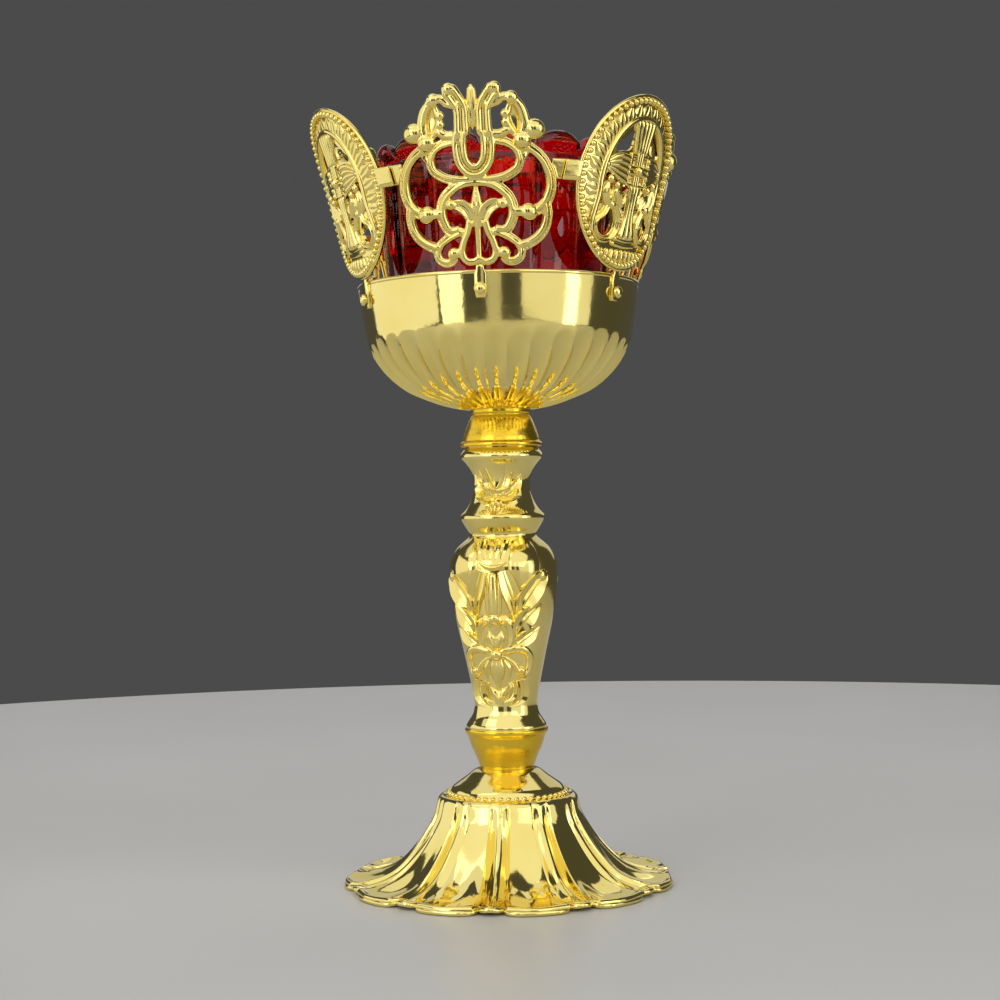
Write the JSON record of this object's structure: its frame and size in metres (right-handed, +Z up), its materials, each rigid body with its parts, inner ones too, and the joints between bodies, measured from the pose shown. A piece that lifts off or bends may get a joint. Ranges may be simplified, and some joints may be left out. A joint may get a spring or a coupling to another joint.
{
  "type": "votive candle holder",
  "caption": "Gilded goblet-shaped votive lamp with a fluted petal foot, baluster stem, openwork crown and a lift-out ruby glass.",
  "frame": {"origin": "centre of the plane that the foot's petals rest on, on the lamp's axis", "axes": "+Z up the stem, -Y towards the front, where a scroll panel and a small bud of the foot face"},
  "size_m": [0.1028, 0.1084, 0.2199],
  "materials": {
    "gilded": "bright gold plate on brass and cast zinc",
    "amber_brass": "lacquered turned brass",
    "plain_steel": "zinc plated",
    "ruby_glass": "pressed ruby glass, clear and glossy"
  },
  "bodies": {
    "holder": {"foot": "gilded", "lower_collar": "amber_brass", "stem": "gilded", "upper_collar": "amber_brass", "bowl": "gilded", "tie_rod": "plain_steel", "foot_washer": "plain_steel", "foot_nut": "plain_steel", "bowl_washer": "plain_steel", "bowl_nut": "plain_steel", "scroll_panel_1": "gilded", "scroll_panel_2": "gilded", "scroll_panel_3": "gilded", "medallion_1": "gilded", "medallion_2": "gilded", "medallion_3": "gilded", "rivet_1": "gilded", "rivet_2": "gilded", "rivet_3": "gilded", "rivet_4": "gilded", "rivet_5": "gilded", "rivet_6": "gilded"},
    "glass": {"glass_cup": "ruby_glass"}
  },
  "joints": [
    {"name": "glass_lift", "type": "slide", "parent": "holder", "child": "glass", "axis": [0, 0, 1], "range_m": [0, 0.085]}
  ]
}
